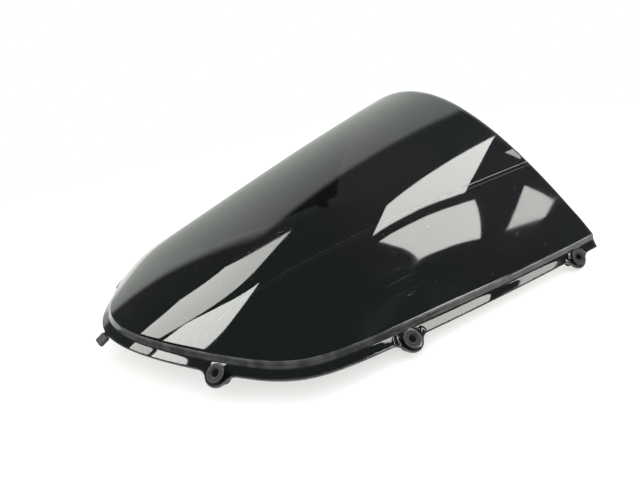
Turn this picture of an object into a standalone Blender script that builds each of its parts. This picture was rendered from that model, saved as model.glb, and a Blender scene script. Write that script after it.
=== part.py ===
"""Windshield screen for a sport motorcycle: a smoked acrylic dome with a stepped
mounting flange, six rubber well nuts with brass inserts, and a cushioned nose tongue.

Frame: metres, +Z up, -Y towards the nose, +X the rider's left. The screen lies on its
well nuts, with the origin on the surface that they stand on, below its middle.
"""
from math import atan2, cos, pi, radians, sin, sqrt

import bmesh
import bpy
import numpy as np
from mathutils import Matrix, Vector

# Outline of the dome's foot in plan, measured back from its nose
NOSE_RADIUS = 0.125        # plan radius at the very nose
NOSE_SPREAD = 0.240        # how quickly the nose curve opens beyond that radius
SIDE_HALF_WIDTH = 0.172    # half width that the straight flanks start from
FLARE_LENGTH = 0.400       # length over which the flanks open by the next two values
FLARE_LINEAR = 0.019
FLARE_CURVED = 0.011
SHOULDER_SHARPNESS = 9.0   # how tightly the nose curve turns into the flank
REAR_CORNER_Y = 0.3935     # where the trailing edge meets the foot
REAR_CENTRE_Y = 0.368      # where the trailing edge crosses the centre line
REAR_EDGE_POWER = 3.2

# Heights, over the same length of 350 mm
HEIGHT_LENGTH = 0.350
FOOT_FRONT = 0.0325
FOOT_MIDDLE = 0.0212
FOOT_REAR = 0.0212
SPINE_SLOPE = 0.55
SPINE_CURVE = -0.27
SPINE_CUBIC = 0.08

# Raised centre bubble, which ends in a soft crease along each flank
BUBBLE_RISE = 0.003
BUBBLE_START_Y = 0.120
BUBBLE_FULL_Y = 0.370
CREASE_FRONT_X = 0.110
CREASE_REAR_X = 0.1425
CREASE_SOFTNESS = 0.05

# Wall, step and flange
WALL = 0.003
STEP_DROP = 0.0026
STEP_RUN = 0.003
FLANGE_WIDTH = 0.0097

# Lugs along the flange's outer edge, by distance back from the nose
LUG_Y = {"front": 0.0427, "middle": 0.1650, "rear": 0.3640}
LUG_RADIUS = 0.010
LUG_THICKNESS = 0.0036
LUG_BORE_RADIUS = 0.005

# Well nut: a rubber sleeve with a head, and a threaded brass insert in its far end
FIT_GAP = 0.0003
HEAD_RADIUS = 0.0072
HEAD_THICKNESS = 0.0016
SLEEVE_RADIUS = 0.0047
SLEEVE_REACH = 0.0118      # from the lug's middle plane to the sleeve's far end
SLEEVE_BORE_RADIUS = 0.0028
MOUTH_RADIUS = 0.0040
MOUTH_DEPTH = 0.0008
INSERT_RADIUS = 0.0034
INSERT_BORE_RADIUS = 0.0021
INSERT_LENGTH = 0.0058

# Tongue at the nose, and the rubber cushion over it
TONGUE_WIDTH = 0.009
TONGUE_THICKNESS = 0.0026
TONGUE_LENGTH = 0.0085
CUSHION_WIDTH = 0.013
CUSHION_THICKNESS = 0.0050
CUSHION_LENGTH = 0.0095

# Mesh density
FOOT_COLUMNS = 96
DOME_ROWS = 9
ROUND_SEGMENTS = 28
CORNER_SIDE = 0.012        # length of trailing edge that belongs to each end column


def smooth(t):
    """Ease from 0 to 1, level at both ends."""
    t = np.clip(t, 0.0, 1.0)
    return t * t * (3.0 - 2.0 * t)


def half_width(y):
    """Half width of the foot at y: a parabola at the nose that blends into a flaring flank."""
    y = np.maximum(y, 1e-9)
    nose = np.sqrt(2.0 * NOSE_RADIUS * y) * (1.0 + y / NOSE_SPREAD)
    t = y / FLARE_LENGTH
    flank = SIDE_HALF_WIDTH + FLARE_LINEAR * t + FLARE_CURVED * t * t
    k = SHOULDER_SHARPNESS
    return (nose ** -k + flank ** -k) ** (-1.0 / k)


def foot_height(y):
    """Parabola through the three foot heights."""
    t = y / HEIGHT_LENGTH
    return (FOOT_FRONT * (1 - t) * (1 - 2 * t) + FOOT_MIDDLE * 4 * t * (1 - t)
            + FOOT_REAR * t * (2 * t - 1))


def spine_rise(y):
    """Height of the spine above the foot."""
    t = y / HEIGHT_LENGTH
    spine = FOOT_FRONT + HEIGHT_LENGTH * (SPINE_SLOPE * t + SPINE_CURVE * t ** 2 + SPINE_CUBIC * t ** 3)
    return spine - foot_height(y)


def bubble(x, y):
    """Centre bubble: a parabola across, cut off softly where it would fall below zero."""
    crease = CREASE_FRONT_X + (CREASE_REAR_X - CREASE_FRONT_X) * (y - 0.120) / 0.230
    level = 1.0 - (x / crease) ** 2
    return 0.5 * (level + np.sqrt(level * level + CREASE_SOFTNESS ** 2))


def dome_height(x, y):
    """Middle surface of the dome: a parabola across each section, plus the bubble."""
    width = half_width(y)
    rise = BUBBLE_RISE * smooth((y - BUBBLE_START_Y) / (BUBBLE_FULL_Y - BUBBLE_START_Y))
    across = spine_rise(y) * (1.0 - (x / width) ** 2)
    return foot_height(y) + across + rise * (bubble(x, y) - bubble(width, y))


def trailing_y(x):
    """Trailing edge in plan."""
    across = np.clip(np.abs(x) / half_width(REAR_CORNER_Y), 0.0, 1.0)
    return REAR_CORNER_Y + (REAR_CENTRE_Y - REAR_CORNER_Y) * (1.0 - across ** REAR_EDGE_POWER)


def foot_frame(y, side=1):
    """Point, tangent, outward slope direction and outward normal of the dome at its foot."""
    step = 5e-5
    before = max(y - step, 0.0)
    run = y + step - before
    spread = (half_width(y + step) - half_width(before)) / run
    plan = Vector((side * 1.0, -spread, 0.0)).normalized()
    inner = 5e-4
    x = half_width(y)
    drop = dome_height(x - abs(plan.x) * inner, y - plan.y * inner) - foot_height(y)
    slope = atan2(float(drop), inner)
    outward = Vector((plan.x * cos(slope), plan.y * cos(slope), -sin(slope)))
    normal = Vector((plan.x * sin(slope), plan.y * sin(slope), cos(slope)))
    along = normal.cross(outward)
    return Vector((side * float(x), y, float(foot_height(y)))), along, outward, normal


def below_foot(y, side, reach, depth):
    """A point out along the slope and down along the normal from the foot."""
    point, along, outward, normal = foot_frame(y, side)
    return point + outward * reach - normal * depth


def foot_stations(count):
    """Signed y stations along the foot, evenly spaced by length, from one rear corner
    round the nose to the other."""
    y = REAR_CORNER_Y * np.linspace(0.0, 1.0, 2000) ** 2
    x = half_width(y)
    length = np.concatenate([[0.0], np.cumsum(np.hypot(np.diff(x), np.diff(y)))])
    even = np.linspace(0.0, length[-1], count // 2 + 1)
    back = np.interp(even, length, y)
    share = even / length[-1]
    left = list(zip([1] * len(back), back, share))
    right = list(zip([-1] * len(back), back, share))
    return right[:0:-1] + left


def lug_matrix(name, side):
    """Frame of a lug: origin in the middle of its plate, +Z out of the screen."""
    y = LUG_Y[name]
    centre = below_foot(y, side, STEP_RUN + FLANGE_WIDTH, STEP_DROP)
    point, along, outward, normal = foot_frame(y, side)
    axes = Matrix((along, normal.cross(along), normal)).transposed()
    return Matrix.Translation(centre) @ axes.to_4x4()


def tongue_matrix():
    """Frame of the tongue: origin at the flange's outer edge, +Y out along the slope."""
    point, along, outward, normal = nose_frame()
    centre = point + outward * (STEP_RUN + FLANGE_WIDTH) - normal * STEP_DROP
    axes = Matrix((outward.cross(normal), outward, normal)).transposed()
    return Matrix.Translation(centre) @ axes.to_4x4()


def nose_frame():
    """Foot frame on the centre line, where the outward direction is straight ahead."""
    inner = 5e-4
    slope = atan2(float(dome_height(0.0, inner)) - FOOT_FRONT, inner)
    outward = Vector((0.0, -cos(slope), -sin(slope)))
    normal = Vector((0.0, -sin(slope), cos(slope)))
    return Vector((0.0, 0.0, FOOT_FRONT)), normal.cross(outward), outward, normal


def resting_shift():
    """Move that puts the lowest sleeve end at z = 0 and the middle of the length at y = 0."""
    lows = []
    for name in LUG_Y:
        frame = lug_matrix(name, 1)
        down = frame.to_3x3() @ Vector((0.0, 0.0, -1.0))
        tilt = sqrt(max(0.0, 1.0 - down.z ** 2))
        lows.append(frame.translation.z + SLEEVE_REACH * down.z - SLEEVE_RADIUS * tilt)
    tongue = tongue_matrix()
    corners = []
    for height in (-0.5, 0.5):
        corner = Vector((0.0, CUSHION_LENGTH + FIT_GAP, height * CUSHION_THICKNESS))
        corners.append((tongue @ corner).y)
    return Vector((0.0, -0.5 * (min(corners) + rear_reach()), -min(lows)))


def rear_reach():
    """Furthest y of the screen, at the inner skin of the rear corner."""
    point, along, outward, normal = foot_frame(REAR_CORNER_Y, 1)
    return REAR_CORNER_Y - normal.y * WALL


def make_material(name, color, roughness, metallic=0.0, transmission=0.0, ior=1.49):
    material = bpy.data.materials.new(name)
    material.use_nodes = True
    shader = material.node_tree.nodes["Principled BSDF"]
    shader.inputs["Base Color"].default_value = (*color, 1.0)
    shader.inputs["Roughness"].default_value = roughness
    shader.inputs["Metallic"].default_value = metallic
    shader.inputs["Transmission Weight"].default_value = transmission
    shader.inputs["IOR"].default_value = ior
    material.diffuse_color = (*color, 1.0)
    return material


def add_object(name, verts, faces, material, matrix=None):
    mesh = bpy.data.meshes.new(name)
    mesh.from_pydata([tuple(v) for v in verts], [], faces)
    mesh.validate()
    work = bmesh.new()
    work.from_mesh(mesh)
    bmesh.ops.recalc_face_normals(work, faces=work.faces)
    work.to_mesh(mesh)
    work.free()
    mesh.materials.append(material)
    mesh.shade_smooth()
    mesh.set_sharp_from_angle(angle=radians(35))
    obj = bpy.data.objects.new(name, mesh)
    bpy.context.collection.objects.link(obj)
    if matrix is not None:
        obj.matrix_world = matrix
    return obj


def ring(profile, segments=ROUND_SEGMENTS):
    """Turn a closed profile of (radius, height) points about Z."""
    verts = []
    for i in range(segments):
        angle = 2.0 * pi * i / segments
        verts += [(r * cos(angle), r * sin(angle), z) for r, z in profile]
    count = len(profile)
    faces = []
    for i in range(segments):
        a = i * count
        b = (i + 1) % segments * count
        for k in range(count):
            n = (k + 1) % count
            faces.append((a + k, b + k, b + n, a + n))
    return verts, faces


def box(low, high):
    x0, y0, z0 = low
    x1, y1, z1 = high
    verts = [(x0, y0, z0), (x1, y0, z0), (x1, y1, z0), (x0, y1, z0),
             (x0, y0, z1), (x1, y0, z1), (x1, y1, z1), (x0, y1, z1)]
    faces = [(0, 3, 2, 1), (4, 5, 6, 7), (0, 1, 5, 4), (1, 2, 6, 5), (2, 3, 7, 6), (3, 0, 4, 7)]
    return verts, faces


def disc(radius, low, high, segments=ROUND_SEGMENTS):
    verts = []
    for z in (low, high):
        for i in range(segments):
            angle = 2.0 * pi * i / segments
            verts.append((radius * cos(angle), radius * sin(angle), z))
    faces = [tuple(range(segments))[::-1], tuple(range(segments, 2 * segments))]
    for i in range(segments):
        n = (i + 1) % segments
        faces.append((i, n, segments + n, segments + i))
    return verts, faces


def combine(target, tool, operation):
    """Boolean the tool into the target, and drop the tool."""
    tool.hide_render = True
    tool.display_type = "WIRE"
    modifier = target.modifiers.new(operation.lower(), "BOOLEAN")
    modifier.operation = operation
    modifier.solver = "EXACT"
    modifier.object = tool
    bpy.context.view_layer.update()
    depsgraph = bpy.context.evaluated_depsgraph_get()
    result = bpy.data.meshes.new_from_object(target.evaluated_get(depsgraph))
    target.modifiers.clear()
    old = target.data
    target.data = result
    result.name = target.name
    bpy.data.meshes.remove(old)
    bpy.data.objects.remove(tool)


def shell_points():
    """Middle surface of dome, step and flange: rows from the trailing edge outwards,
    columns round the foot."""
    stations = foot_stations(FOOT_COLUMNS)
    rear_x = half_width(REAR_CORNER_Y) - CORNER_SIDE
    rows = []
    for i in range(DOME_ROWS + 1):
        w = 1.0 - i / DOME_ROWS
        row = []
        for side, y, share in stations:
            foot_x = side * half_width(y)
            edge_x = side * rear_x * share
            x = foot_x * (1.0 - w) + edge_x * w
            back = y * (1.0 - w) + trailing_y(edge_x) * w
            row.append((x, back, dome_height(x, back)))
        rows.append(row)
    for reach in (STEP_RUN, STEP_RUN + FLANGE_WIDTH):
        row = []
        for side, y, share in stations:
            point, along, outward, normal = nose_frame() if y < 1e-6 else foot_frame(y, side)
            row.append(tuple(point + outward * reach - normal * STEP_DROP))
        rows.append(row)
    return np.array(rows, dtype=float)


def thicken(points, wall):
    """Two skins, half a wall to each side of the middle surface, closed round the rim."""
    down = np.gradient(points, axis=0)
    along = np.gradient(points, axis=1)
    normal = np.cross(along, down)
    normal /= np.linalg.norm(normal, axis=2, keepdims=True)
    normal *= np.sign(normal[:, :, 2:3])
    rows, columns = points.shape[:2]
    outer = (points + normal * wall / 2).reshape(-1, 3)
    inner = (points - normal * wall / 2).reshape(-1, 3)
    verts = np.concatenate([outer, inner])
    faces = []
    offset = rows * columns
    for i in range(rows - 1):
        for j in range(columns - 1):
            a = i * columns + j
            quad = (a, a + 1, a + columns + 1, a + columns)
            faces.append(quad)
            faces.append(tuple(offset + v for v in reversed(quad)))
    rim = [j for j in range(columns)]
    rim += [(i + 1) * columns - 1 for i in range(1, rows)]
    rim += [offset - 1 - j for j in range(1, columns)]
    rim += [i * columns for i in range(rows - 2, 0, -1)]
    for k, a in enumerate(rim):
        b = rim[(k + 1) % len(rim)]
        faces.append((b, a, offset + a, offset + b))
    return verts, faces


def build_screen(material, shift):
    verts, faces = thicken(shell_points(), WALL)
    screen = add_object("screen", verts, faces, material)
    for name in LUG_Y:
        for side in (1, -1):
            plate = disc(LUG_RADIUS, -LUG_THICKNESS / 2, LUG_THICKNESS / 2)
            combine(screen, add_object("lug", *plate, material, lug_matrix(name, side)), "UNION")
    tongue = box((-TONGUE_WIDTH / 2, -0.005, -TONGUE_THICKNESS / 2),
                 (TONGUE_WIDTH / 2, TONGUE_LENGTH, TONGUE_THICKNESS / 2))
    combine(screen, add_object("tongue", *tongue, material, tongue_matrix()), "UNION")
    for name in LUG_Y:
        for side in (1, -1):
            bore = disc(LUG_BORE_RADIUS, -0.006, 0.006)
            combine(screen, add_object("bore", *bore, material, lug_matrix(name, side)), "DIFFERENCE")
    screen.data.transform(Matrix.Translation(shift))
    screen.data.shade_smooth()
    screen.data.set_sharp_from_angle(angle=radians(35))
    return screen


def build_cushion(material, shift):
    gap = FIT_GAP
    outer = box((-CUSHION_WIDTH / 2, gap + 0.0008, -CUSHION_THICKNESS / 2),
                (CUSHION_WIDTH / 2, CUSHION_LENGTH + gap, CUSHION_THICKNESS / 2))
    pocket = box((-TONGUE_WIDTH / 2 - gap, -0.002, -TONGUE_THICKNESS / 2 - gap),
                 (TONGUE_WIDTH / 2 + gap, TONGUE_LENGTH + gap, TONGUE_THICKNESS / 2 + gap))
    matrix = Matrix.Translation(shift) @ tongue_matrix()
    cushion = add_object("tongue_cushion", *outer, material, matrix)
    combine(cushion, add_object("pocket", *pocket, material, matrix), "DIFFERENCE")
    return cushion


def build_sleeve(label, material, matrix):
    under = LUG_THICKNESS / 2 + FIT_GAP
    top = under + HEAD_THICKNESS
    pocket = INSERT_RADIUS + FIT_GAP
    ceiling = INSERT_LENGTH + FIT_GAP - SLEEVE_REACH
    profile = [(SLEEVE_RADIUS, -SLEEVE_REACH), (SLEEVE_RADIUS, under), (HEAD_RADIUS, under),
               (HEAD_RADIUS, top), (MOUTH_RADIUS, top), (MOUTH_RADIUS, top - MOUTH_DEPTH),
               (SLEEVE_BORE_RADIUS, top - MOUTH_DEPTH), (SLEEVE_BORE_RADIUS, ceiling),
               (pocket, ceiling), (pocket, -SLEEVE_REACH)]
    return add_object("well_nut_sleeve_" + label, *ring(profile), material, matrix)


def build_insert(label, material, matrix):
    low = -SLEEVE_REACH
    high = low + INSERT_LENGTH
    profile = [(INSERT_RADIUS, low), (INSERT_RADIUS, high),
               (INSERT_BORE_RADIUS, high), (INSERT_BORE_RADIUS, low)]
    return add_object("well_nut_insert_" + label, *ring(profile), material, matrix)


def build():
    for obj in list(bpy.data.objects):
        bpy.data.objects.remove(obj)
    acrylic = make_material("smoked_acrylic", (0.012, 0.012, 0.014), 0.06, transmission=0.3)
    rubber = make_material("black_rubber", (0.025, 0.025, 0.026), 0.75)
    grey_rubber = make_material("grey_rubber", (0.05, 0.05, 0.052), 0.8)
    brass = make_material("brass", (0.62, 0.46, 0.20), 0.35, metallic=1.0)
    shift = resting_shift()
    build_screen(acrylic, shift)
    build_cushion(grey_rubber, shift)
    for side, side_name in ((1, "left"), (-1, "right")):
        for place in LUG_Y:
            label = side_name + "_" + place
            matrix = Matrix.Translation(shift) @ lug_matrix(place, side)
            build_sleeve(label, rubber, matrix)
            build_insert(label, brass, matrix)


build()
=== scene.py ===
from math import cos, pi, radians, sin

import bmesh
import bpy
import numpy as np
from mathutils import Matrix, Vector


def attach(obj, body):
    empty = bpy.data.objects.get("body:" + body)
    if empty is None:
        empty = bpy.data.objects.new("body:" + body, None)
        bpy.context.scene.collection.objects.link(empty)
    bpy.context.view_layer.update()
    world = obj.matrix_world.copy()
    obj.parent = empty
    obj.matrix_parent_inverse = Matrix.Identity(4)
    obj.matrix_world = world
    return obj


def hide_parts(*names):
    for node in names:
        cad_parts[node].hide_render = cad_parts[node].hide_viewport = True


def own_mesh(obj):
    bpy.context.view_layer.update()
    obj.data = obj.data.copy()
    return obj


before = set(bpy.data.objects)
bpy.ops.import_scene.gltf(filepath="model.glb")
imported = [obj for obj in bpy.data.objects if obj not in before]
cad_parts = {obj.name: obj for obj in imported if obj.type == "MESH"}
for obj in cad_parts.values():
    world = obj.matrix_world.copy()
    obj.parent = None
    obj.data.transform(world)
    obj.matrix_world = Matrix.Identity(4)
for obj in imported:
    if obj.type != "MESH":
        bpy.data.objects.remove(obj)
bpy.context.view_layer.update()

print("frame loaded:", len(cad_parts), "nodes")

# Sizes of the dome in metres, measured back from the nose of its foot
dome = dict(
    noseRadius=0.125, noseSpread=0.240,        # plan curve at the nose
    flankHalfWidth=0.172, flankLength=0.400, flankOpening=0.019, flankSweep=0.011,
    shoulderSharpness=9.0,                     # how tightly the nose turns into the flanks
    cornerY=0.3935, tailY=0.368, tailPower=3.2, cornerSide=0.012,
    heightLength=0.350, footFront=0.0325, footMiddle=0.0212, footRear=0.0212,
    spineSlope=0.55, spineCurve=-0.27, spineCubic=0.08,
    bubbleRise=0.003, bubbleStart=0.120, bubbleFull=0.370, fullness=0.06, bubbleExtra=-0.0021,
    creaseFront=0.110, creaseRear=0.1425, creaseFrontY=0.120, creaseLength=0.230, creaseSoftness=0.006,
    shift=(0.0, -0.18704, 0.000836),           # from the nose of the foot to the frame's origin
)

# Sizes of the joggled rim, its lugs and the tongue
rim = dict(
    wall=0.003, drop=0.0026, run=0.003, width=0.0097,
    rampRun=0.0046, bend=0.10,                 # length of the joggle's ramp, and how soft its two bends are
    tiltPlaces=(0.022, 0.034, 0.070, 0.090),   # places along the foot for the next line
    tilts=(3.0, 0.0, 0.0, -3.0),               # degrees that the flange is flatter than the foot
    edgeRound=0.0008, lugRadius=0.010, lugFillet=0.009, lugPad=0.0003, bore=0.005,
    lugY=dict(front=0.0427, middle=0.1650, rear=0.3640),
    tongueHalf=0.0046, tongueLength=0.0085, tongueThin=0.0002,
)


def ease(t):
    # goes from 0 to 1 and is level at both ends: three t squared less two t cubed
    t = np.clip(t, 0.0, 1.0)
    return t * t * (3.0 - 2.0 * t)


def halfWidth(y):
    # half width of the foot: root of twice radius times y, opened by y, blended with a line that flares
    y = np.maximum(y, 1e-10)
    nose = np.sqrt(2.0 * dome["noseRadius"] * y) * (1.0 + y / dome["noseSpread"])
    t = y / dome["flankLength"]
    flank = dome["flankHalfWidth"] + dome["flankOpening"] * t + dome["flankSweep"] * t * t
    k = dome["shoulderSharpness"]
    return (nose ** -k + flank ** -k) ** (-1.0 / k)


def footHeight(y):
    # parabola through the front, middle and rear heights
    t = y / dome["heightLength"]
    return (dome["footFront"] * (1 - t) * (1 - 2 * t) + dome["footMiddle"] * 4 * t * (1 - t)
            + dome["footRear"] * t * (2 * t - 1))


def domeHeight(x, y):
    # a cubic spine over the foot, falling as a parabola to each side, plus the raised centre bubble
    t = y / dome["heightLength"]
    spine = dome["footFront"] + dome["heightLength"] * (
        dome["spineSlope"] * t + dome["spineCurve"] * t ** 2 + dome["spineCubic"] * t ** 3)
    width = halfWidth(y)
    rise = dome["bubbleRise"] * ease((y - dome["bubbleStart"]) / (dome["bubbleFull"] - dome["bubbleStart"]))
    # the extra moves height from bubble to parabola, which softens the crease and keeps the spine
    extra = dome["bubbleExtra"] * rise / dome["bubbleRise"]
    across = (x / width) ** 2
    arch = 1.0 - across + dome["fullness"] * across * (1.0 - across)
    return (footHeight(y) + (spine - footHeight(y) - extra) * arch
            + (rise + extra) * (bubble(x, y) - bubble(width, y)))


def bubble(x, y):
    # one less the square of x over the crease line's x, cut off softly where it falls below zero
    opening = dome["creaseRear"] - dome["creaseFront"]
    crease = dome["creaseFront"] + opening * (y - dome["creaseFrontY"]) / dome["creaseLength"]
    level = 1.0 - (x / crease) ** 2
    return 0.5 * (level + np.sqrt(level * level + dome["creaseSoftness"] ** 2))


def tailY(x):
    # trailing edge in plan: flat in the middle, sweeping back towards the corners
    across = np.clip(np.abs(x) / halfWidth(dome["cornerY"]), 0.0, 1.0)
    return dome["cornerY"] + (dome["tailY"] - dome["cornerY"]) * (1.0 - across ** dome["tailPower"])


def unit(v):
    # each vector over its own length
    return v / np.linalg.norm(v, axis=-1, keepdims=True)


def footFrames(y, side):
    # point, outward slope and normal of the dome at its foot, for arrays of y and side
    y = np.asarray(y, float)
    step = 5e-5
    before = np.maximum(y - step, 0.0)
    spread = (halfWidth(y + step) - halfWidth(before)) / (y + step - before)
    plan = unit(np.stack([np.where(y < 1e-6, 0.0, side), -spread], -1))
    inner = 5e-4
    innerX = np.abs(halfWidth(y) - np.abs(plan[..., 0]) * inner)
    slope = np.arctan2(domeHeight(innerX, y - plan[..., 1] * inner) - footHeight(y), inner)
    point = np.stack([side * halfWidth(y) * (y > 1e-9), y, footHeight(y)], -1)
    outward = np.stack([plan[..., 0] * np.cos(slope), plan[..., 1] * np.cos(slope), -np.sin(slope)], -1)
    normal = np.stack([plan[..., 0] * np.sin(slope), plan[..., 1] * np.sin(slope), np.cos(slope)], -1)
    return point, outward, normal


def lugFrame(place, side):
    # origin in the middle of the lug's plate, +Z out of the screen, +X along the rim
    point, outward, normal = [Vector(v) for v in footFrames(rim["lugY"][place], side)]
    centre = point + outward * (rim["run"] + rim["width"]) - normal * rim["drop"] + Vector(dome["shift"])
    along = normal.cross(outward).normalized()
    return Matrix.Translation(centre) @ Matrix((along, normal.cross(along), normal)).transposed().to_4x4()


def tongueFrame():
    # origin at the rim's outer edge on the centre line, +Y forward along the slope
    point, outward, normal = [Vector(v) for v in footFrames(0.0, 1)]
    centre = point + outward * (rim["run"] + rim["width"]) - normal * rim["drop"] + Vector(dome["shift"])
    return Matrix.Translation(centre) @ Matrix((outward.cross(normal), outward, normal)).transposed().to_4x4()


def gridQuads(rows, columns, wrapRows=False, wrapColumns=False):
    # the four corners of every cell of a grid numbered row by row
    i = np.arange(rows if wrapRows else rows - 1)[:, None]
    j = np.arange(columns if wrapColumns else columns - 1)[None, :]
    nextJ = (j + 1) % columns
    here, there = i * columns, (i + 1) % rows * columns
    corners = np.broadcast_arrays(here + j, here + nextJ, there + nextJ, there + j)
    return np.stack(corners, -1).reshape(-1, 4)


def putMesh(name, points, quads, material, sharpAngle=38.0):
    # arrays into a mesh, doubles merged, faces turned outwards
    mesh = bpy.data.meshes.new(name)
    points = np.asarray(points, np.float32).reshape(-1, 3)
    mesh.vertices.add(len(points))
    mesh.vertices.foreach_set("co", points.ravel())
    mesh.loops.add(quads.size)
    mesh.loops.foreach_set("vertex_index", quads.astype(np.int32).ravel())
    mesh.polygons.add(len(quads))
    mesh.polygons.foreach_set("loop_start", np.arange(0, quads.size, 4, dtype=np.int32))
    mesh.update(calc_edges=True)
    mesh.validate()
    piece = bpy.data.objects.new(name, mesh)
    bpy.context.scene.collection.objects.link(piece)
    tidyMesh(piece, sharpAngle)
    mesh.materials.append(material)
    return piece


def tidyMesh(piece, sharpAngle):
    # points within two micrometres become one, and edges sharper than the angle are marked sharp
    work = bmesh.new()
    work.from_mesh(piece.data)
    bmesh.ops.remove_doubles(work, verts=work.verts, dist=2e-6)
    bmesh.ops.dissolve_degenerate(work, edges=work.edges, dist=1e-6)
    bmesh.ops.recalc_face_normals(work, faces=work.faces)
    work.to_mesh(piece.data)
    work.free()
    piece.data.shade_smooth()
    piece.data.set_sharp_from_angle(angle=radians(sharpAngle))


def addAttribute(piece, name, values):
    # one number for each point of the piece
    attribute = piece.data.attributes.new(name, "FLOAT", "POINT")
    attribute.data.foreach_set("value", np.asarray(values, np.float32).ravel())


def newGroup(name, inputs, outputs):
    # an empty node group whose sockets are all plain numbers
    group = bpy.data.node_groups.new(name, "ShaderNodeTree")
    for title, value in inputs.items():
        socket = group.interface.new_socket(name=title, in_out="INPUT", socket_type="NodeSocketFloat")
        socket.default_value = value
    for title in outputs:
        group.interface.new_socket(name=title, in_out="OUTPUT", socket_type="NodeSocketFloat")
    return group, group.nodes.new("NodeGroupInput"), group.nodes.new("NodeGroupOutput")


def join(tree, start, end):
    # a link from one socket to another
    tree.links.new(start, end)


def calc(tree, operation, *values, clamp=False):
    # one step of arithmetic on numbers or sockets
    node = tree.nodes.new("ShaderNodeMath")
    node.operation, node.use_clamp = operation, clamp
    for socket, value in zip(node.inputs, values):
        if isinstance(value, (int, float)):
            socket.default_value = value
        else:
            join(tree, value, socket)
    return node.outputs[0]


def vectorCalc(tree, operation, first, second):
    # one step of vector arithmetic
    node = tree.nodes.new("ShaderNodeVectorMath")
    node.operation = operation
    join(tree, first, node.inputs[0])
    if isinstance(second, tuple):
        node.inputs[1].default_value = second
    else:
        join(tree, second, node.inputs[1])
    return node.outputs["Value" if operation in ("DOT_PRODUCT", "LENGTH") else "Vector"]


def remap(tree, value, low, high, toLow=0.0, toHigh=1.0):
    # carries low..high to toLow..toHigh with level ends
    node = tree.nodes.new("ShaderNodeMapRange")
    node.interpolation_type = "SMOOTHSTEP"
    for title, number in (("From Min", low), ("From Max", high), ("To Min", toLow), ("To Max", toHigh)):
        if isinstance(number, (int, float)):
            node.inputs[title].default_value = number
        else:
            join(tree, number, node.inputs[title])
    join(tree, value, node.inputs["Value"])
    return node.outputs["Result"]


def noise(tree, place, scale, detail=3.0, roughness=0.5):
    # cloudy noise between 0 and 1
    node = tree.nodes.new("ShaderNodeTexNoise")
    join(tree, place, node.inputs["Vector"])
    node.inputs["Detail"].default_value = detail
    node.inputs["Roughness"].default_value = roughness
    if isinstance(scale, (int, float)):
        node.inputs["Scale"].default_value = scale
    else:
        join(tree, scale, node.inputs["Scale"])
    return node.outputs["Fac"]


def stretch(tree, place, turn, scale):
    # turns a pattern on the piece and stretches it
    node = tree.nodes.new("ShaderNodeMapping")
    join(tree, place, node.inputs["Vector"])
    node.inputs["Rotation"].default_value = [radians(a) for a in turn]
    node.inputs["Scale"].default_value = scale
    return node.outputs["Vector"]


def blendColour(tree, amount, first, second):
    # first times one less the amount, plus second times the amount
    node = tree.nodes.new("ShaderNodeMix")
    node.data_type = "RGBA"
    join(tree, amount, node.inputs["Factor"])
    for socket, colour in ((node.inputs["A"], first), (node.inputs["B"], second)):
        if isinstance(colour, tuple):
            socket.default_value = (*colour, 1.0)
        else:
            join(tree, colour, socket)
    return node.outputs["Result"]


def makeScratchGroup():
    # fine hairlines in two directions: stretched noise, kept only near its middle value
    group, given, out = newGroup("hairlineScratches", {"Scale": 90.0, "Amount": 0.5}, ["Mask"])
    place = group.nodes.new("ShaderNodeTexCoord").outputs["Object"]
    masks = []
    for turn, size in (((0, 0, 27), (1.0, 0.035, 1.0)), ((0, 0, -48), (0.9, 0.045, 1.0))):
        lines = noise(group, stretch(group, place, turn, size), given.outputs["Scale"], 2.0, 0.4)
        near = calc(group, "ABSOLUTE", calc(group, "SUBTRACT", lines, 0.5))
        masks.append(remap(group, near, 0.0, 0.0045, 1.0, 0.0))
    place = stretch(group, place, (0, 0, 11), (1.0, 1.0, 1.0))
    patches = remap(group, noise(group, place, 21.0, 2.0), 0.56, 0.72)
    total = calc(group, "MULTIPLY", calc(group, "MAXIMUM", *masks), patches)
    join(group, calc(group, "MULTIPLY", total, given.outputs["Amount"], clamp=True), out.inputs["Mask"])
    return group


def makeDustGroup():
    # small round specks: distance to scattered points, kept where it is small and where a noise allows it
    group, given, out = newGroup("dustSpecks", {"Scale": 260.0, "Size": 0.12, "Amount": 0.5}, ["Mask"])
    place = group.nodes.new("ShaderNodeTexCoord").outputs["Object"]
    cells = group.nodes.new("ShaderNodeTexVoronoi")
    join(group, place, cells.inputs["Vector"])
    join(group, given.outputs["Scale"], cells.inputs["Scale"])
    separate = group.nodes.new("ShaderNodeSeparateColor")
    join(group, cells.outputs["Color"], separate.inputs["Color"])
    size = calc(group, "MULTIPLY", given.outputs["Size"], separate.outputs[0])
    dots = calc(group, "LESS_THAN", cells.outputs["Distance"], size)
    allowed = calc(group, "GREATER_THAN", separate.outputs[1], 0.72)
    both = calc(group, "MULTIPLY", dots, allowed)
    join(group, calc(group, "MULTIPLY", both, given.outputs["Amount"], clamp=True), out.inputs["Mask"])
    return group


def makeGrainGroup():
    # moulded surface grain: a fine noise for height and a coarse one for patches of tone
    group, given, out = newGroup("mouldedGrain", {"Fine": 2600.0, "Coarse": 240.0}, ["Height", "Tone"])
    place = group.nodes.new("ShaderNodeTexCoord").outputs["Object"]
    join(group, noise(group, place, given.outputs["Fine"], 4.0, 0.62), out.inputs["Height"])
    tone = remap(group, noise(group, place, given.outputs["Coarse"], 3.0), 0.30, 0.70)
    join(group, tone, out.inputs["Tone"])
    return group


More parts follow.
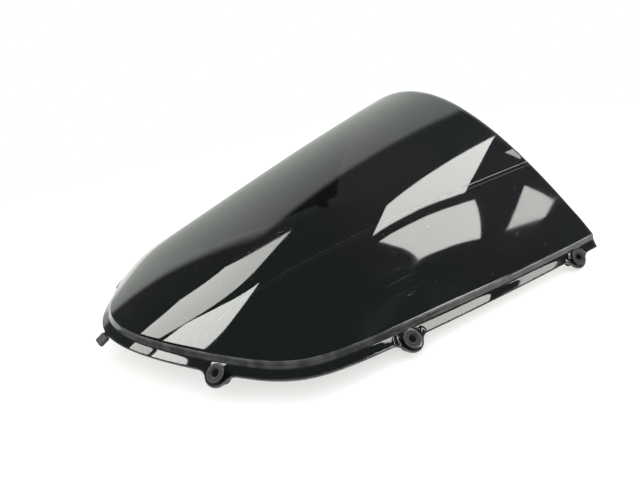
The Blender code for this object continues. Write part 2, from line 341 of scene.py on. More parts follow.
def makeEdgeGroup():
    # pale edges, rubbed wear on some pieces and painted highlights on others: the piece's own edge value,
    # broken up by a noise
    group, given, out = newGroup("wearAndHighlightEdges", {"Amount": 0.6, "Breakup": 420.0}, ["Mask"])
    place = group.nodes.new("ShaderNodeTexCoord").outputs["Object"]
    edge = group.nodes.new("ShaderNodeAttribute")
    edge.attribute_name = "edge"
    patches = remap(group, noise(group, place, given.outputs["Breakup"], 3.0), 0.36, 0.62)
    broken = calc(group, "ADD", 0.45, calc(group, "MULTIPLY", patches, 0.55))
    mask = calc(group, "MULTIPLY", edge.outputs["Fac"], broken)
    join(group, calc(group, "MULTIPLY", mask, given.outputs["Amount"], clamp=True), out.inputs["Mask"])
    return group


scratchGroup = makeScratchGroup()
dustGroup = makeDustGroup()
grainGroup = makeGrainGroup()
edgeGroup = makeEdgeGroup()


def placeGroup(tree, group, **values):
    # a group in a material, with its own settings
    node = tree.nodes.new("ShaderNodeGroup")
    node.node_tree = group
    for title, value in values.items():
        node.inputs[title].default_value = value
    return node


def newMaterial(name, constants):
    # a material with one main shader and its constant values
    material = bpy.data.materials.new(name)
    material.use_nodes = True
    tree = material.node_tree
    shader = tree.nodes["Principled BSDF"]
    for title, value in constants.items():
        shader.inputs[title].default_value = value
    return material, tree, shader


def addBump(tree, shader, height, distance, strength=1.0):
    # relief of the given depth in metres
    bump = tree.nodes.new("ShaderNodeBump")
    bump.inputs["Distance"].default_value = distance
    bump.inputs["Strength"].default_value = strength
    join(tree, height, bump.inputs["Height"])
    join(tree, bump.outputs["Normal"], shader.inputs["Normal"])


acrylicLook = dict(
    smoke=(0.020, 0.017, 0.021), coolSmoke=(0.014, 0.019, 0.018), wearAndHighlightTone=(0.85, 0.86, 0.82),
    dustTone=(0.62, 0.60, 0.55), roughness=0.022, scratchAmount=0.55,
    creaseWidth=0.00042,                                       # half width of the painted highlight line along each crease
    creaseFaint=0.03, creaseBright=0.15, creaseLeast=0.12,     # it comes up between the first two, in y
)


def creaseHighlight(tree, place):
    # a painted highlight line along each crease: distance from the line x = start + slope times y, in plan
    look = acrylicLook
    slope = (dome["creaseRear"] - dome["creaseFront"]) / dome["creaseLength"]
    start = dome["creaseFront"] - slope * (dome["creaseFrontY"] + dome["shift"][1])
    parts = tree.nodes.new("ShaderNodeSeparateXYZ")
    join(tree, place, parts.inputs[0])
    line = calc(tree, "ADD", calc(tree, "MULTIPLY", parts.outputs["Y"], slope), start)
    away = calc(tree, "ABSOLUTE", calc(tree, "SUBTRACT", calc(tree, "ABSOLUTE", parts.outputs["X"]), line))
    along = remap(tree, parts.outputs["Y"], look["creaseFaint"], look["creaseBright"], look["creaseLeast"])
    return calc(tree, "MULTIPLY", remap(tree, away, 0.0, look["creaseWidth"], 1.0, 0.0), along)


def makeAcrylic():
    # dark smoked acrylic: two tints in clouds, smears, hairlines, dust, paler rubbed outer edges, and painted
    # highlights along the bend's crest and the creases, with a faint painted reflection on the joggle's wall
    look = acrylicLook
    material, tree, shader = newMaterial("smokedAcrylic", {
        "IOR": 1.49, "Transmission Weight": 0.85, "Metallic": 0.0})
    place = tree.nodes.new("ShaderNodeTexCoord").outputs["Object"]
    scratches = placeGroup(tree, scratchGroup, Scale=70.0, Amount=look["scratchAmount"])
    dust = placeGroup(tree, dustGroup, Scale=230.0, Size=0.08, Amount=0.55)
    edges = placeGroup(tree, edgeGroup, Amount=0.75, Breakup=120.0)
    # crease: a painted highlight line along each crease of the bubble
    crease = creaseHighlight(tree, place)
    tint = remap(tree, noise(tree, place, 9.0, 2.0), 0.35, 0.65)
    colour = blendColour(tree, tint, look["smoke"], look["coolSmoke"])
    # pale: rubbed outer edges, plus the painted highlights on the bend's crest and creases and the faint
    # painted reflection on the joggle's wall
    pale = calc(tree, "MAXIMUM", edges.outputs["Mask"], crease)
    colour = blendColour(tree, pale, colour, look["wearAndHighlightTone"])
    colour = blendColour(tree, dust.outputs["Mask"], colour, look["dustTone"])
    join(tree, colour, shader.inputs["Base Color"])
    wiped = stretch(tree, place, (0, 0, 35), (1.0, 0.3, 1.0))
    smears = remap(tree, noise(tree, wiped, 26.0, 4.0), 0.45, 0.75)
    rough = calc(tree, "ADD", look["roughness"], calc(tree, "MULTIPLY", smears, 0.03))
    rough = calc(tree, "ADD", rough, calc(tree, "MULTIPLY", scratches.outputs["Mask"], 0.25))
    rough = calc(tree, "ADD", rough, calc(tree, "MULTIPLY", dust.outputs["Mask"], 0.5))
    rough = calc(tree, "ADD", rough, calc(tree, "MULTIPLY", pale, 0.25), clamp=True)
    join(tree, rough, shader.inputs["Roughness"])
    waves = noise(tree, place, 14.0, 1.0)
    height = calc(tree, "ADD", waves, calc(tree, "MULTIPLY", scratches.outputs["Mask"], -0.02))
    addBump(tree, shader, height, 0.00005)
    return material


def makeRubber(name, dark, pale, roughness, edgeAmount, dustAmount):
    # moulded rubber: two tones in patches, fine grain, paler edges and dust; the pale edges are painted
    # highlight rings on the well nut heads and rubbed wear on the cushion
    material, tree, shader = newMaterial(name, {"IOR": 1.5, "Metallic": 0.0})
    grain = placeGroup(tree, grainGroup, Fine=2400.0, Coarse=330.0)
    edges = placeGroup(tree, edgeGroup, Amount=edgeAmount, Breakup=700.0)
    dust = placeGroup(tree, dustGroup, Scale=900.0, Size=0.30, Amount=dustAmount)
    colour = blendColour(tree, grain.outputs["Tone"], dark, pale)
    # paler edges: painted highlight rings on the well nut heads, rubbed wear on the cushion
    colour = blendColour(tree, edges.outputs["Mask"], colour, tuple(min(1.0, 3.4 * c + 0.02) for c in pale))
    colour = blendColour(tree, dust.outputs["Mask"], colour, (0.42, 0.40, 0.36))
    join(tree, colour, shader.inputs["Base Color"])
    rough = calc(tree, "ADD", roughness, calc(tree, "MULTIPLY", grain.outputs["Tone"], 0.12))
    rough = calc(tree, "SUBTRACT", rough, calc(tree, "MULTIPLY", edges.outputs["Mask"], 0.12), clamp=True)
    join(tree, rough, shader.inputs["Roughness"])
    addBump(tree, shader, grain.outputs["Height"], 0.00012, 0.8)
    return material


def makeBrass():
    # turned brass: fine rings from stretched noise, dull patches and bright crests
    material, tree, shader = newMaterial("turnedBrass", {"Metallic": 1.0})
    place = tree.nodes.new("ShaderNodeTexCoord").outputs["Object"]
    grain = placeGroup(tree, grainGroup, Fine=3800.0, Coarse=500.0)
    edges = placeGroup(tree, edgeGroup, Amount=0.8, Breakup=900.0)
    colour = blendColour(tree, grain.outputs["Tone"], (0.40, 0.27, 0.10), (0.62, 0.45, 0.19))
    colour = blendColour(tree, edges.outputs["Mask"], colour, (0.80, 0.64, 0.34))
    join(tree, colour, shader.inputs["Base Color"])
    rings = noise(tree, stretch(tree, place, (0, 0, 0), (1.0, 1.0, 9.0)), 700.0, 2.0)
    rough = calc(tree, "ADD", 0.26, calc(tree, "MULTIPLY", grain.outputs["Tone"], 0.22), clamp=True)
    join(tree, rough, shader.inputs["Roughness"])
    addBump(tree, shader, calc(tree, "ADD", rings, grain.outputs["Height"]), 0.00004, 0.7)
    return material


acrylic = makeAcrylic()
blackRubber = makeRubber("blackRubber", (0.010, 0.010, 0.010), (0.022, 0.022, 0.021), 0.46, 0.7, 0.5)
greyRubber = makeRubber("greyRubber", (0.030, 0.030, 0.031), (0.050, 0.050, 0.050), 0.68, 0.5, 0.4)
brass = makeBrass()
print("materials made")


# The screen: one shell whose rows run from the trailing edge down to the rim's outer edge
shell = dict(
    domeRows=64, rimRows=8, crowding=0.05,     # dome rows crowd towards both of their ends
    coarse=0.0042, fine=0.0011, lugReach=0.02565, lugMargin=0.010,         # column spacing, fine at the lugs
    tongueFine=0.00045, tongueReach=0.0085, tongueMargin=0.003,
    cornerFine=0.00016, cornerReach=0.0022, cornerMargin=0.0016,
    boreSides=64, boreDepth=0.012,
)


def columnStations():
    # places round the foot: equal steps of the running sum of length over the spacing wanted there
    y = dome["cornerY"] * np.linspace(0.0, 1.0, 20001) ** 2
    x = halfWidth(y)
    x[0] = 0.0
    length = np.concatenate([[0.0], np.cumsum(np.hypot(np.diff(x), np.diff(y)))])
    spacing = np.full_like(length, shell["coarse"])
    for lugY in rim["lugY"].values():
        away = np.abs(length - np.interp(lugY, y, length))
        near = ease((shell["lugReach"] - away) / shell["lugMargin"])
        spacing += (shell["fine"] - spacing) * near
    atTongue = ease((shell["tongueReach"] - length) / shell["tongueMargin"])
    spacing += (shell["tongueFine"] - spacing) * atTongue
    atCorner = ease((length - length[-1] + shell["cornerReach"]) / shell["cornerMargin"])
    spacing += (shell["cornerFine"] - spacing) * atCorner
    count = np.concatenate([[0.0], np.cumsum(np.diff(length) / (0.5 * (spacing[1:] + spacing[:-1])))])
    even = np.interp(np.linspace(0.0, count[-1], int(count[-1])), count, length)
    back = np.interp(even, length, y)
    share = even / length[-1]
    fromEnd = length[-1] - even
    side = np.concatenate([-np.ones(len(even) - 1), np.ones(len(even))])
    mirror = lambda v: np.concatenate([v[:0:-1], v])
    return side, mirror(back), mirror(share), mirror(fromEnd)


def rimOutline(along):
    # how far the outer edge stands out: a circle with two fillets at each lug, and the tongue
    big, small = rim["lugRadius"], rim["lugFillet"]
    foot = np.sqrt((big + small) ** 2 - small ** 2)
    touch = foot * big / (big + small)
    out = np.zeros_like(along[0])
    for u in along[:-1]:
        u = np.abs(u)
        circle = np.sqrt(np.maximum(big ** 2 - u ** 2, 0.0))
        fillet = small - np.sqrt(np.maximum(small ** 2 - (foot - u) ** 2, 0.0))
        out = np.maximum(out, np.where(u < touch, circle, np.where(u < foot, fillet, 0.0)))
    tongue = rim["tongueLength"] * ease((rim["tongueHalf"] + 0.0003 - np.abs(along[-1])) / 0.0009)
    return np.maximum(out, tongue), tongue / rim["tongueLength"]


def buildScreen():
    # middle surface on a grid, plus and minus half the wall along its normals, closed round the border
    side, y, share, fromEnd = columnStations()
    foot, outward, normal = footFrames(y, side)
    edgeX = side * (halfWidth(dome["cornerY"]) - dome["cornerSide"]) * share
    tail = np.stack([edgeX, tailY(edgeX)], -1)
    columnLength = np.linalg.norm(tail - foot[:, :2], axis=1)

    # dome rows: plan points between trailing edge and foot, with close rows at both ends
    tailRows = np.array([0.0, 0.06, 0.2, 0.42, 0.8]) * 1e-3
    footRows = np.array([3.4, 2.0, 1.2, 0.7, 0.4, 0.2, 0.08]) * 1e-3
    first = tailRows[-1] / columnLength
    last = 1.0 - footRows[0] / columnLength
    u = np.linspace(0.0, 1.0, shell["domeRows"])[1:-1, None]
    u = u - shell["crowding"] * np.sin(2 * pi * u)
    t = np.concatenate([tailRows[:, None] / columnLength, first + (last - first) * u,
                        1.0 - footRows[:, None] / columnLength])
    plan = tail[None] * (1 - t[..., None]) + foot[None, :, :2] * t[..., None]
    x, back = plan[..., 0], plan[..., 1]
    height = domeHeight(x, back)
    h = 2e-4
    slopeX = (domeHeight(x + h, back) - domeHeight(x - h, back)) / (2 * h)
    slopeY = (domeHeight(x, back + h) - domeHeight(x, back - h)) / (2 * h)
    domeNormal = unit(np.stack([-slopeX, -slopeY, np.ones_like(x)], -1))
    toFoot = (1.0 - t) * columnLength
    weight = ease(1.0 - toFoot / 0.016)[..., None]
    domeNormal = unit(domeNormal * (1 - weight) + normal[None] * weight)
    reachDome = -toFoot
    points = np.stack([x, back, height], -1)

    # rim rows: reach out along the slope, past the joggle, to the lobed outer edge
    base = foot + outward * (rim["run"] + rim["width"]) - normal * rim["drop"]
    centres, alongs, planes = [], [], []
    for lugSide in (1, -1):
        for lugY in rim["lugY"].values():
            p, o, n = footFrames(lugY, lugSide)
            c = p + o * (rim["run"] + rim["width"]) - n * rim["drop"]
            near = np.linalg.norm(base - c, axis=1) < 0.03
            alongs.append(np.where(near, (base - c) @ np.cross(n, o), 1.0))
            centres.append(c)
            planes.append(n)
    alongs.append(base[:, 0] + (y > 0.02))
    extra, inTongue = rimOutline(alongs)
    outer = rim["run"] + rim["width"] + extra
    joggle = np.array([0.0, 0.15, 0.35, 0.6, 1.0, 1.8, 2.8, 3.6, 4.0, 4.25, 4.45, 4.6, 4.8, 5.1, 5.6]) * 1e-3
    rimRows = np.array([0.8, 0.5, 0.25, 0.08, 0.0]) * 1e-3
    v = np.linspace(0.0, 1.0, shell["rimRows"] + 2)[1:-1, None]
    between = joggle[-1] + (outer - rimRows[0] - joggle[-1]) * v
    reach = np.concatenate([np.repeat(joggle[:, None], len(y), 1), between, outer - rimRows[:, None]])
    flange = foot[None] + outward[None] * reach[..., None]
    points = np.concatenate([points, flange])
    normals = np.concatenate([domeNormal, np.broadcast_to(normal, flange.shape)])
    reachAll = np.concatenate([reachDome, reach])

    # joggle: a straight ramp with two softened bends, down to a flange tilted about its outer edge
    t = reachAll / rim["rampRun"]
    soft = rim["bend"]
    ramp = 0.5 * (np.sqrt(t * t + soft ** 2) - np.sqrt((t - 1) ** 2 + soft ** 2) + 1.0)
    tilt = np.interp(y, rim["tiltPlaces"], rim["tilts"])
    fullReach = rim["run"] + rim["width"]
    deeper = np.tan(np.radians(tilt))[None] * np.clip(fullReach - reachAll, 0.0, fullReach)
    points = points - normal[None] * ((rim["drop"] + deeper) * ramp)[..., None]

    # lug plates are flat, and a little thicker than the rim
    half = np.full(reachAll.shape, rim["wall"] / 2)
    onRim = ease((reachAll - 0.0040) / 0.0016)
    pad = np.zeros_like(half)
    for c, n in zip(centres, planes):
        away = np.linalg.norm(points - c, axis=-1)
        flat = (ease((0.0160 - away) / 0.0065) * onRim)[..., None]
        points = points - n * ((points - c) @ n)[..., None] * flat
        normals = unit(normals * (1 - flat) + n * flat)
        pad = np.maximum(pad, ease((0.0099 - away) / 0.0007) * ease((reachAll - 0.0048) / 0.0008))
    half += rim["lugPad"] * pad - rim["tongueThin"] * inTongue[None] * ease((reachAll - 0.013) / 0.001)

    # rounded edges: a quarter circle from each skin into the rim's flat
    fromTail = toFootDistance(reachAll, columnLength)
    edgeDistance = np.minimum(np.minimum(fromTail, outer[None] - reachAll), fromEnd[None])
    edgeDistance = np.maximum(edgeDistance, 0.0)
    corner = rim["edgeRound"]
    inset = corner - np.sqrt(np.maximum(corner ** 2 - np.maximum(corner - edgeDistance, 0.0) ** 2, 0.0))
    half = half - inset
    shift = np.array(dome["shift"])
    skins = [points + normals * half[..., None] + shift, points - normals * half[..., None] + shift]
    rows, columns = half.shape
    count = rows * columns
    top = gridQuads(rows, columns)
    border = np.concatenate([
        np.arange(columns), np.arange(2 * columns - 1, count, columns),
        np.arange(count - 2, count - columns - 1, -1), np.arange(count - 2 * columns, 0, -columns)])
    following = np.roll(border, -1)
    wall = np.stack([following, border, border + count, following + count], -1)
    quads = np.concatenate([top, top[:, ::-1] + count, wall])
    # pale where rubbed along the outer edges; a painted highlight along the crest of the upper bend and,
    # faintly, a painted reflection on the joggle's wall
    edge = 0.5 * ease(1.0 - edgeDistance / 0.0012) + ease(1.0 - np.abs(reachAll - 0.0002) / 0.0006)
    edge = edge + 0.15 * ease((reachAll - 0.0006) / 0.0008) * ease((0.0050 - reachAll) / 0.0010)
    screen = putMesh("screenShell", np.concatenate([s.reshape(-1, 3) for s in skins]), quads, acrylic)
    if len(screen.data.vertices) == 2 * count:
        addAttribute(screen, "edge", np.tile(np.clip(edge, 0, 1).ravel(), 2))
    print("screen shell:", rows, "rows,", columns, "columns,", len(screen.data.vertices), "points")
    return screen


def toFootDistance(reach, columnLength):
    # distance from the trailing edge along each column, large on the rim rows
    return np.where(reach <= 0, columnLength[None] + reach, 1.0)


def turned(profile, segments, matrix, wobble=None):
    # a closed profile of radius and height carried round the axis, with an optional change of radius by angle
    angle = np.linspace(0.0, 2 * pi, segments, endpoint=False)
    radius = np.repeat(profile[:, :1], segments, 1)
    height = np.repeat(profile[:, 1:2], segments, 1)
    if wobble is not None:
        radius = radius + wobble(radius, height, angle[None])
    points = np.stack([radius * np.cos(angle), radius * np.sin(angle), height], -1)
    return points.reshape(-1, 3) @ np.array(matrix.to_3x3()).T + np.array(matrix.translation)


def rounded(corners, steps=5):
    # each corner (radius, height, cut) becomes a parabola that starts and ends a cut's length away from it
    corners = np.array(corners, float)
    spot, cut = corners[:, :2], corners[:, 2:3]
    before, after = unit(np.roll(spot, 1, 0) - spot), unit(np.roll(spot, -1, 0) - spot)
    t = np.linspace(0.0, 1.0, steps)[None, :, None]
    start, end = (spot + before * cut)[:, None], (spot + after * cut)[:, None]
    return ((1 - t) ** 2 * start + 2 * t * (1 - t) * spot[:, None] + t ** 2 * end).reshape(-1, 2)


def cutBores(screen):
    # one joined cutter, taken away from the shell in a single exact step
    work = bmesh.new()
    for side in (1, -1):
        for place in rim["lugY"]:
            tool = bmesh.new()
            bmesh.ops.create_cone(tool, cap_ends=True, segments=shell["boreSides"], radius1=rim["bore"],
                                  radius2=rim["bore"], depth=shell["boreDepth"], matrix=lugFrame(place, side))
            part = bpy.data.meshes.new("tool")
            tool.to_mesh(part)
            tool.free()
            work.from_mesh(part)
            bpy.data.meshes.remove(part)
    mesh = bpy.data.meshes.new("boreCutter")
    work.to_mesh(mesh)
    work.free()
    cutter = bpy.data.objects.new("boreCutter", mesh)
    bpy.context.scene.collection.objects.link(cutter)
    modifier = screen.modifiers.new("bores", "BOOLEAN")
    modifier.operation, modifier.solver, modifier.object = "DIFFERENCE", "EXACT", cutter
    bpy.context.view_layer.update()
    result = bpy.data.meshes.new_from_object(screen.evaluated_get(bpy.context.evaluated_depsgraph_get()))
    screen.modifiers.clear()
    old, screen.data = screen.data, result
    bpy.data.meshes.remove(old)
    result.name = screen.name
    bpy.data.objects.remove(cutter)
    result.shade_smooth()
    result.set_sharp_from_angle(angle=radians(38))


screen = buildScreen()
cutBores(screen)
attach(screen, "root")
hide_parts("screen")

# Well nut sleeves, in millimetres from the middle of the lug's plate
sleeveSizes = dict(bodyRadius=4.7, reach=11.8, headRadius=7.2, headUnder=2.1, headTop=3.7, grooveIn=5.05,
                   grooveOut=5.75, grooveDepth=0.35, mouth=4.0, mouthDepth=0.8, bore=2.8, pocket=3.7,
                   pocketTop=-4.2, draw=3.0, seam=0.07)


def buildSleeve(label, side, place):
    # a profile of rounded corners turned round the lug's axis
    s = sleeveSizes
    top = s["headTop"]
    corners = [
        (s["bodyRadius"], -s["reach"], 0.5), (s["bodyRadius"], s["headUnder"], 0.15),
        (s["headRadius"], s["headUnder"], 0.35), (s["headRadius"], top - 0.15, 0.6),
        (s["grooveOut"] + 0.12, top, 0.12), (s["grooveOut"] - 0.1, top - s["grooveDepth"], 0.1),
        (s["grooveIn"] + 0.1, top - s["grooveDepth"], 0.1), (s["grooveIn"] - 0.12, top - 0.05, 0.12),
        (s["mouth"] + 0.1, top - 0.05, 0.2), (s["mouth"] - 0.1, top - s["mouthDepth"], 0.15),
        (s["bore"], top - s["mouthDepth"], 0.25), (s["bore"], s["pocketTop"], 0.3),
        (s["pocket"], s["pocketTop"], 0.3), (s["pocket"], -s["reach"], 0.12)]
    profile = rounded(corners) * 1e-3
    matrix = lugFrame(place, side)

    def flash(radius, height, angle):
        # a faint mould line on two opposite sides of the outer walls
        outer = radius > 0.0045
        return outer * s["seam"] * 1e-3 * np.exp(-((np.mod(angle + pi / 2, pi) - pi / 2) / 0.035) ** 2)

    sleeve = putMesh("wellNutSleeve_" + label, turned(profile, 96, matrix, flash),
                     gridQuads(len(profile), 96, True, True), blackRubber)
    # painted highlight rings on the head: its rim, outside the groove and round the mouth
    radius, height = profile[:, 0] * 1e3, profile[:, 1] * 1e3
    edge = ease((radius - 6.4) / 0.5) * (height > 2.6)
    for ring, width, above in ((5.95, 0.16, 3.4), (4.2, 0.2, 3.2)):
        edge = edge + 0.8 * np.exp(-((radius - ring) / width) ** 2) * (height > above)
    if len(sleeve.data.vertices) == len(profile) * 96:
        addAttribute(sleeve, "edge", np.repeat(np.clip(edge, 0, 1), 96))
    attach(sleeve, "root")
    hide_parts("well_nut_sleeve_" + label)
    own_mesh(sleeve)


# Brass inserts, in millimetres
insertSizes = dict(radius=3.4, bore=2.10, low=-11.8, high=-6.0, chamfer=0.35, pitch=0.8, threadDepth=0.36,
                   knurls=22, knurlDepth=0.10, knurlReach=2.0)


def buildInsert(label, side, place):
    # a ring's profile turned round the lug's axis, with a thread inside and knurls outside
    s = insertSizes
    low, high, chamfer = s["low"], s["high"], s["chamfer"]
    outside = np.linspace(low + chamfer, high - chamfer, 10)
    inside = np.linspace(high - 0.5, low + 0.5, 64)
    wide = s["bore"] + s["threadDepth"]
    profile = np.concatenate([
        [(s["radius"] - chamfer, low), (s["radius"] - 0.1, low + 0.08)],
        np.stack([np.full(10, s["radius"]), outside], -1),
        [(s["radius"] - 0.1, high - 0.08), (s["radius"] - chamfer, high), (wide + 0.1, high)],
        np.stack([np.full(64, s["bore"]), inside], -1), [(wide + 0.1, low)]]) * 1e-3
    matrix = lugFrame(place, side)

    def threadAndKnurl(radius, height, angle):
        # inside: a triangle wave that climbs one pitch per turn; outside: straight knurls round the barrel
        turn = np.mod(height * 1e3 / s["pitch"] + angle / (2 * pi), 1.0)
        fade = ease(np.minimum(height * 1e3 - low - 0.3, high - 0.3 - height * 1e3) / 0.5)
        thread = s["threadDepth"] * np.abs(2 * turn - 1) * fade + s["threadDepth"] * (1 - fade)
        inner = np.abs(radius - s["bore"] * 1e-3) < 1e-5
        barrel = radius > s["radius"] * 1e-3 - 1e-5
        ridged = np.abs(height * 1e3 - (low + high) / 2) < s["knurlReach"]
        knurl = -s["knurlDepth"] * (0.5 - 0.5 * np.cos(s["knurls"] * angle)) * ridged
        return (inner * thread + barrel * knurl) * 1e-3

    insert = putMesh("wellNutInsert_" + label, turned(profile, 88, matrix, threadAndKnurl),
                     gridQuads(len(profile), 88, True, True), brass, 50.0)
    mask = (np.abs(profile[:, 0] * 1e3 - s["radius"] + 0.2) < 0.21) * 0.7
    if len(insert.data.vertices) == len(profile) * 88:
        addAttribute(insert, "edge", np.repeat(mask, 88))
    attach(insert, "insert_" + label)
    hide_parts("well_nut_insert_" + label)


for sideName, side in (("left", 1), ("right", -1)):
    for place in rim["lugY"]:
        buildSleeve(sideName + "_" + place, side, place)
        buildInsert(sideName + "_" + place, side, place)
print("well nuts made")

# Rubber cushion over the tongue, in millimetres from the rim's outer edge
cushionSizes = dict(halfWidth=6.5, halfThick=2.5, near=1.1, far=9.8, pocketHalfWidth=4.8, pocketHalfThick=1.6,
                    pocketEnd=8.8, squareness=5.0, ribs=4, ribDepth=0.16, lip=0.45, endRound=1.3)


def buildCushion():
    # rounded rectangles along the tongue, from the pocket's floor out over the lip to the closed end
    s = cushionSizes
    columns = 96
    angle = np.linspace(0.0, 2 * pi, columns, endpoint=False)
    # stations of half width, half thickness and place: pocket floor and wall, lip, outer wall, end
    halfWide, halfThick, cut = s["halfWidth"], s["halfThick"], s["endRound"]
    pocketWide, pocketThick = s["pocketHalfWidth"], s["pocketHalfThick"]
    outside = np.linspace(s["near"] + 0.9, s["far"] - cut, 40)
    phase = 2 * pi * s["ribs"] * (outside - outside[0]) / (outside[-1] - outside[0])
    ribs = -s["ribDepth"] * (0.5 - 0.5 * np.cos(phase)) ** 3
    bend = np.linspace(0.0, pi / 2, 9)[1:]
    mouth = 1 - np.cos(np.linspace(0.0, pi, 9))
    mouthRise = 1 - np.sin(np.linspace(0.0, pi, 9))
    lipWide, lipThick = (halfWide - pocketWide) / 2, (halfThick - pocketThick) / 2
    rows = np.concatenate([
        [(0.0, 0.0, s["pocketEnd"]), (pocketWide * 0.5, pocketThick * 0.5, s["pocketEnd"]),
         (pocketWide - 0.2, pocketThick - 0.2, s["pocketEnd"]),
         (pocketWide, pocketThick, s["pocketEnd"] - 0.2), (pocketWide, pocketThick, s["near"] + 2.0)],
        np.stack([pocketWide + lipWide * mouth, pocketThick + lipThick * mouth,
                  s["near"] + s["lip"] * mouthRise], -1),
        np.stack([halfWide + ribs, halfThick + ribs * 0.7, outside], -1),
        np.stack([halfWide - cut * (1 - np.cos(bend)), halfThick - cut * (1 - np.cos(bend)),
                  s["far"] - cut * (1 - np.sin(bend))], -1),
        [((halfWide - cut) * k, (halfThick - cut) * k, s["far"]) for k in (0.8, 0.4, 0.0)]])
    # each station is a rounded rectangle: cosine and sine raised to a small power
    power = 2.0 / s["squareness"]
    across = np.sign(np.cos(angle)) * np.abs(np.cos(angle)) ** power
    upward = np.sign(np.sin(angle)) * np.abs(np.sin(angle)) ** power
    lengthwise = np.repeat(rows[:, 2:3], columns, 1)
    local = np.stack([rows[:, :1] * across, lengthwise, rows[:, 1:2] * upward], -1) * 1e-3
    matrix = tongueFrame()
    points = local.reshape(-1, 3) @ np.array(matrix.to_3x3()).T + np.array(matrix.translation)
    quads = gridQuads(len(rows), columns, False, True)
    cushion = putMesh("tongueCushion", points, quads, greyRubber, 60.0)
    spots = np.zeros(len(cushion.data.vertices) * 3, np.float32)
    cushion.data.vertices.foreach_get("co", spots)
    inside = (spots.reshape(-1, 3) - np.array(matrix.translation)) @ np.array(matrix.to_3x3()) * 1e3
    sideways = np.minimum(np.abs(inside[:, 0]) / halfWide, 1) ** 4
    corner = sideways * np.minimum(np.abs(inside[:, 2]) / halfThick, 1) ** 4
    atEnd = ease((inside[:, 1] - s["far"] + 0.9) / 0.9)
    addAttribute(cushion, "edge", np.clip(corner * 1.6 + atEnd * 0.3, 0, 1))
    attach(cushion, "root")
    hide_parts("tongue_cushion")


buildCushion()
print("cushion made")

# Studio: a pale floor, a dark ceiling, a pale wall, and overhead panels given as radiance and corners
studio = dict(
    floorTone=(0.50, 0.50, 0.495), floorGlow=0.62, floorHalf=1.1, ambient=1.30, ceiling=0.08,
    panelTint=(0.99, 1.0, 0.955), wallTint=(0.94, 1.0, 0.93), wallLow=0.75, wallHigh=1.35, panelHeight=1.5,
    wallPlanes=((-0.21, 0.95, -0.19), (-0.625, 0.625, -0.47)), wallSoftness=0.03,
    panels=dict(
        leftStrip=(8.0, [(-1.65, -1.35), (-1.55, -0.80), (-1.20, -0.30), (-0.55, 0.10), (-1.20, -1.35)]),
        leftBox=(13.0, [(-1.10, -1.40), (-1.05, -1.05), (-0.50, -0.15), (-0.60, -1.40)]),
        rightUpper=(13.0, [(0.35, 0.50), (0.25, 0.55), (0.50, 1.15), (0.80, 1.05)]),
        rightLower=(12.0, [(0.45, 0.55), (0.95, 1.15), (1.40, 1.40), (0.95, 0.90), (0.60, 0.65)]),
        rightFar=(9.5, [(1.60, 1.65), (1.25, 1.55), (1.75, 2.00), (1.90, 2.05)]),
        rightSmall=(7.0, [(0.75, 1.25), (0.95, 1.40), (0.80, 1.35)]),
        rimStrip=(10.5, [(1.30, 1.10), (2.65, 2.40), (2.75, 2.25), (1.40, 1.00)]),
        rimEnd=(8.0, [(3.10, 2.85), (3.60, 3.50), (3.65, 3.30), (3.20, 2.70)]),
    ),
)


def buildFloor():
    # a wide flat sheet with a faint grain, lit from below as well so that its shadows stay pale
    line = np.linspace(-studio["floorHalf"], studio["floorHalf"], 13)
    spots = np.stack(np.meshgrid(line, line), -1).reshape(-1, 2)
    points = np.concatenate([spots, np.zeros((len(spots), 1))], 1)
    material, tree, shader = newMaterial("paleFloor", {
        "Roughness": 0.9, "Specular IOR Level": 0.1, "Emission Color": (1.0, 0.99, 0.97, 1.0),
        "Emission Strength": studio["floorGlow"]})
    place = tree.nodes.new("ShaderNodeTexCoord").outputs["Object"]
    tone = studio["floorTone"]
    mottled = blendColour(tree, noise(tree, place, 3.0, 2.0), tone, tuple(0.985 * c for c in tone))
    join(tree, mottled, shader.inputs["Base Color"])
    floor = putMesh("floor", points, gridQuads(13, 13), material)
    if floor.data.polygons[0].normal.z < 0:
        floor.data.flip_normals()


def buildPanel(name, radiance, corners):
    # a flat panel that gives light downwards and isn't seen by the camera
    mesh = bpy.data.meshes.new(name)
    mesh.from_pydata([(x, y, studio["panelHeight"]) for x, y in corners], [], [tuple(range(len(corners)))])
    material = bpy.data.materials.new(name)
    material.use_nodes = True
    tree = material.node_tree
    tree.nodes.clear()
    glow, out = tree.nodes.new("ShaderNodeEmission"), tree.nodes.new("ShaderNodeOutputMaterial")
    glow.inputs["Color"].default_value = (*studio["panelTint"], 1.0)
    glow.inputs["Strength"].default_value = radiance
    join(tree, glow.outputs[0], out.inputs["Surface"])
    mesh.materials.append(material)
    panel = bpy.data.objects.new(name, mesh)
    bpy.context.scene.collection.objects.link(panel)
    panel.visible_camera = panel.visible_diffuse = panel.visible_shadow = False


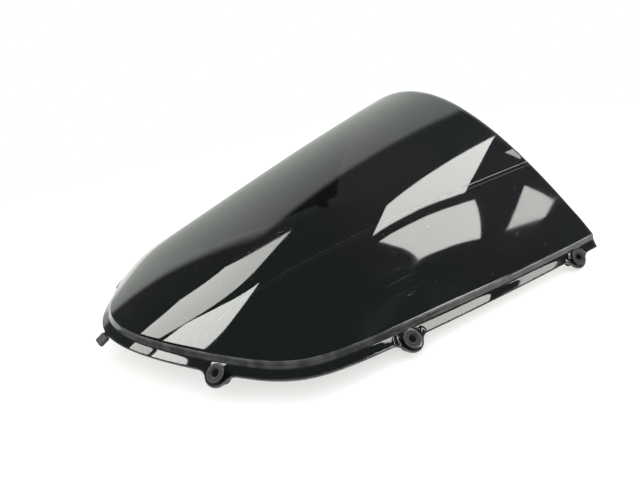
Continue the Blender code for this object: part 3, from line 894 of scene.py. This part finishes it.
def buildWorld():
    # camera and matt surfaces see plain white; gloss sees a dark ceiling and a pale wall between two planes
    world = bpy.data.worlds.new("studio")
    bpy.context.scene.world = world
    world.use_nodes = True
    tree = world.node_tree
    tree.nodes.clear()
    direction = tree.nodes.new("ShaderNodeTexCoord").outputs["Generated"]
    soft = studio["wallSoftness"]
    sides = [remap(tree, vectorCalc(tree, "DOT_PRODUCT", direction, plane), -soft, soft)
             for plane in studio["wallPlanes"]]
    wall = calc(tree, "MULTIPLY", *sides)
    up = tree.nodes.new("ShaderNodeSeparateXYZ")
    join(tree, direction, up.inputs[0])
    brightness = remap(tree, up.outputs["Z"], 0.0, 0.75, studio["wallLow"], studio["wallHigh"])
    gloss = calc(tree, "ADD", studio["ceiling"], calc(tree, "MULTIPLY", wall, brightness))
    path = tree.nodes.new("ShaderNodeLightPath")
    seen, matt = path.outputs["Is Camera Ray"], path.outputs["Is Diffuse Ray"]
    notCamera = calc(tree, "SUBTRACT", 1.0, seen)
    notDiffuse = calc(tree, "SUBTRACT", 1.0, matt)
    dim = calc(tree, "MULTIPLY", calc(tree, "MULTIPLY", gloss, notCamera), notDiffuse)
    lit = calc(tree, "ADD", seen, calc(tree, "MULTIPLY", matt, studio["ambient"]))
    background, out = tree.nodes.new("ShaderNodeBackground"), tree.nodes.new("ShaderNodeOutputWorld")
    join(tree, calc(tree, "ADD", dim, lit), background.inputs["Strength"])
    plain = calc(tree, "MAXIMUM", seen, matt)
    join(tree, blendColour(tree, plain, studio["wallTint"], (1.0, 1.0, 1.0)), background.inputs["Color"])
    join(tree, background.outputs[0], out.inputs["Surface"])


view = dict(azimuth=57.45, elevation=19.2, roll=-9.32, place=(0.4425, -0.2497, 0.2184), lens=29.0)


def buildCamera():
    # back is away from the object; right and up are turned about it by the roll
    a, e, r = (radians(view[k]) for k in ("azimuth", "elevation", "roll"))
    back = Vector((sin(a) * cos(e), -cos(a) * cos(e), sin(e)))
    right = Vector((cos(a), sin(a), 0.0))
    up = back.cross(right)
    right, up = right * cos(r) + up * sin(r), up * cos(r) - right * sin(r)
    camera = bpy.data.objects.new("camera", bpy.data.cameras.new("camera"))
    bpy.context.scene.collection.objects.link(camera)
    camera.matrix_world = Matrix.Translation(view["place"]) @ Matrix((right, up, back)).transposed().to_4x4()
    camera.data.lens, camera.data.sensor_width = view["lens"], 36.0
    camera.data.clip_start, camera.data.clip_end = 0.01, 200.0
    bpy.context.scene.camera = camera


buildFloor()
for title, (radiance, corners) in studio["panels"].items():
    buildPanel(title, radiance, corners)
buildWorld()
buildCamera()
bpy.context.scene.view_settings.view_transform = "Standard"
print("studio made")
